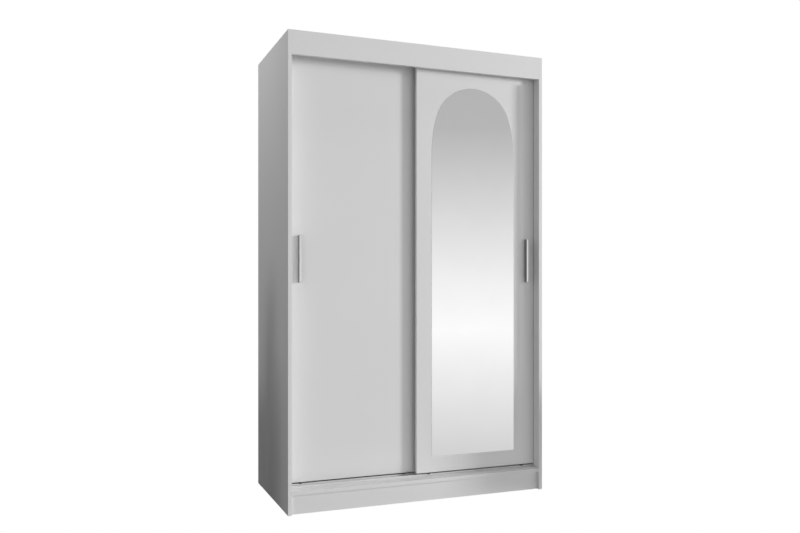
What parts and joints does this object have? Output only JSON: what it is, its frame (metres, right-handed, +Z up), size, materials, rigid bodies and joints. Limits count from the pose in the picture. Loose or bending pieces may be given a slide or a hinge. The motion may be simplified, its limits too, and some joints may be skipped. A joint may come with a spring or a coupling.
{
  "type": "sliding door wardrobe",
  "caption": "White laminate wardrobe with sliding doors on tracks, a tall arched mirror, slim vertical handles, a hanging rail and shelves inside.",
  "frame": {"origin": "on the floor under the middle of the footprint", "axes": "+X to the right seen from the front, +Y from the doors to the back, +Z up"},
  "size_m": [1.2, 0.6, 2],
  "materials": {
    "white_laminate": "white melamine laminate, fine satin texture",
    "hardboard": "thin hardboard, white lacquered inside, raw brown outside",
    "beech": "raw beech",
    "aluminium": "satin anodised",
    "zinc_steel": "zinc plated",
    "chrome": "polished chrome",
    "nylon": "white nylon",
    "white_aluminium": "aluminium profile, white powder coat",
    "dark_plastic": "dark grey acetal",
    "grey_plastic": "moulded grey plastic",
    "clear_rubber": "translucent soft pads",
    "mirror": "silvered glass with polished edges",
    "foam_tape": "foam mounting tape"
  },
  "bodies": {
    "carcass": {"side_left": "white_laminate", "side_right": "white_laminate", "top_panel": "white_laminate", "top_fascia": "white_laminate", "bottom_panel": "white_laminate", "plinth_front": "white_laminate", "plinth_rear": "white_laminate", "plinth_support": "white_laminate", "partition": "white_laminate", "back_panel_left": "hardboard", "back_panel_right": "hardboard", "hat_shelf": "white_laminate", "shelf_1": "white_laminate", "shelf_2": "white_laminate", "shelf_3": "white_laminate", "shelf_4": "white_laminate", "hanging_rail": "chrome", "rail_flange_left": "chrome", "rail_flange_right": "chrome", "bottom_track": "white_aluminium", "top_track": "white_aluminium", "cam_locks": "zinc_steel", "cam_bolts": "zinc_steel", "dowels": "beech", "connecting_screws": "zinc_steel", "shelf_pins": "zinc_steel", "back_nails": "zinc_steel", "carcass_screws": "zinc_steel", "wall_brackets": "zinc_steel", "floor_glides": "nylon", "door_bumpers": "clear_rubber"},
    "door_left": {"door_panel_left": "white_laminate", "handle_left": "aluminium", "handle_screws_left": "zinc_steel", "roller_housing_left_outer": "grey_plastic", "roller_housing_left_inner": "grey_plastic", "wheel_axles_left": "zinc_steel", "height_adjusters_left": "zinc_steel", "guide_brackets_left": "zinc_steel", "door_fitting_screws_left": "zinc_steel"},
    "wheel_left_outer": {"wheel_left_outer": "dark_plastic"},
    "guide_roller_left_outer": {"guide_roller_left_outer": "dark_plastic"},
    "wheel_left_inner": {"wheel_left_inner": "dark_plastic"},
    "guide_roller_left_inner": {"guide_roller_left_inner": "dark_plastic"},
    "door_right": {"door_panel_right": "white_laminate", "handle_right": "aluminium", "handle_screws_right": "zinc_steel", "roller_housing_right_outer": "grey_plastic", "roller_housing_right_inner": "grey_plastic", "wheel_axles_right": "zinc_steel", "height_adjusters_right": "zinc_steel", "guide_brackets_right": "zinc_steel", "door_fitting_screws_right": "zinc_steel", "mirror_glass": "mirror", "mirror_tape": "foam_tape"},
    "wheel_right_outer": {"wheel_right_outer": "dark_plastic"},
    "guide_roller_right_outer": {"guide_roller_right_outer": "dark_plastic"},
    "wheel_right_inner": {"wheel_right_inner": "dark_plastic"},
    "guide_roller_right_inner": {"guide_roller_right_inner": "dark_plastic"}
  },
  "joints": [
    {"name": "door_left_slide", "type": "slide", "parent": "carcass", "child": "door_left", "axis": [1, 0, 0], "range_m": [0, 0.5735]},
    {"name": "door_right_slide", "type": "slide", "parent": "carcass", "child": "door_right", "axis": [1, 0, 0], "range_m": [-0.5735, 0]},
    {"name": "wheel_left_outer_spin", "type": "hinge", "parent": "door_left", "child": "wheel_left_outer", "pos_m": [-0.5225, -0.202, 0.1197], "axis": [0, 1, 0], "continuous": true},
    {"name": "guide_roller_left_outer_spin", "type": "hinge", "parent": "door_left", "child": "guide_roller_left_outer", "pos_m": [-0.5225, -0.204, 1.9678], "axis": [0, 0, 1], "continuous": true},
    {"name": "wheel_left_inner_spin", "type": "hinge", "parent": "door_left", "child": "wheel_left_inner", "pos_m": [-0.051, -0.202, 0.1197], "axis": [0, 1, 0], "continuous": true},
    {"name": "guide_roller_left_inner_spin", "type": "hinge", "parent": "door_left", "child": "guide_roller_left_inner", "pos_m": [-0.051, -0.204, 1.9678], "axis": [0, 0, 1], "continuous": true},
    {"name": "wheel_right_outer_spin", "type": "hinge", "parent": "door_right", "child": "wheel_right_outer", "pos_m": [0.5225, -0.242, 0.1197], "axis": [0, 1, 0], "continuous": true},
    {"name": "guide_roller_right_outer_spin", "type": "hinge", "parent": "door_right", "child": "guide_roller_right_outer", "pos_m": [0.5225, -0.244, 1.9678], "axis": [0, 0, 1], "continuous": true},
    {"name": "wheel_right_inner_spin", "type": "hinge", "parent": "door_right", "child": "wheel_right_inner", "pos_m": [0.051, -0.242, 0.1197], "axis": [0, 1, 0], "continuous": true},
    {"name": "guide_roller_right_inner_spin", "type": "hinge", "parent": "door_right", "child": "guide_roller_right_inner", "pos_m": [0.051, -0.244, 1.9678], "axis": [0, 0, 1], "continuous": true}
  ],
  "couplings": [
    {"joint": "wheel_left_outer_spin", "follows": "door_left_slide", "rad_per_m": 95.238},
    {"joint": "guide_roller_left_outer_spin", "follows": "door_left_slide", "rad_per_m": -121.95},
    {"joint": "wheel_left_inner_spin", "follows": "door_left_slide", "rad_per_m": 95.238},
    {"joint": "guide_roller_left_inner_spin", "follows": "door_left_slide", "rad_per_m": -121.95},
    {"joint": "wheel_right_outer_spin", "follows": "door_right_slide", "rad_per_m": 95.238},
    {"joint": "guide_roller_right_outer_spin", "follows": "door_right_slide", "rad_per_m": -121.95},
    {"joint": "wheel_right_inner_spin", "follows": "door_right_slide", "rad_per_m": 95.238},
    {"joint": "guide_roller_right_inner_spin", "follows": "door_right_slide", "rad_per_m": -121.95}
  ]
}
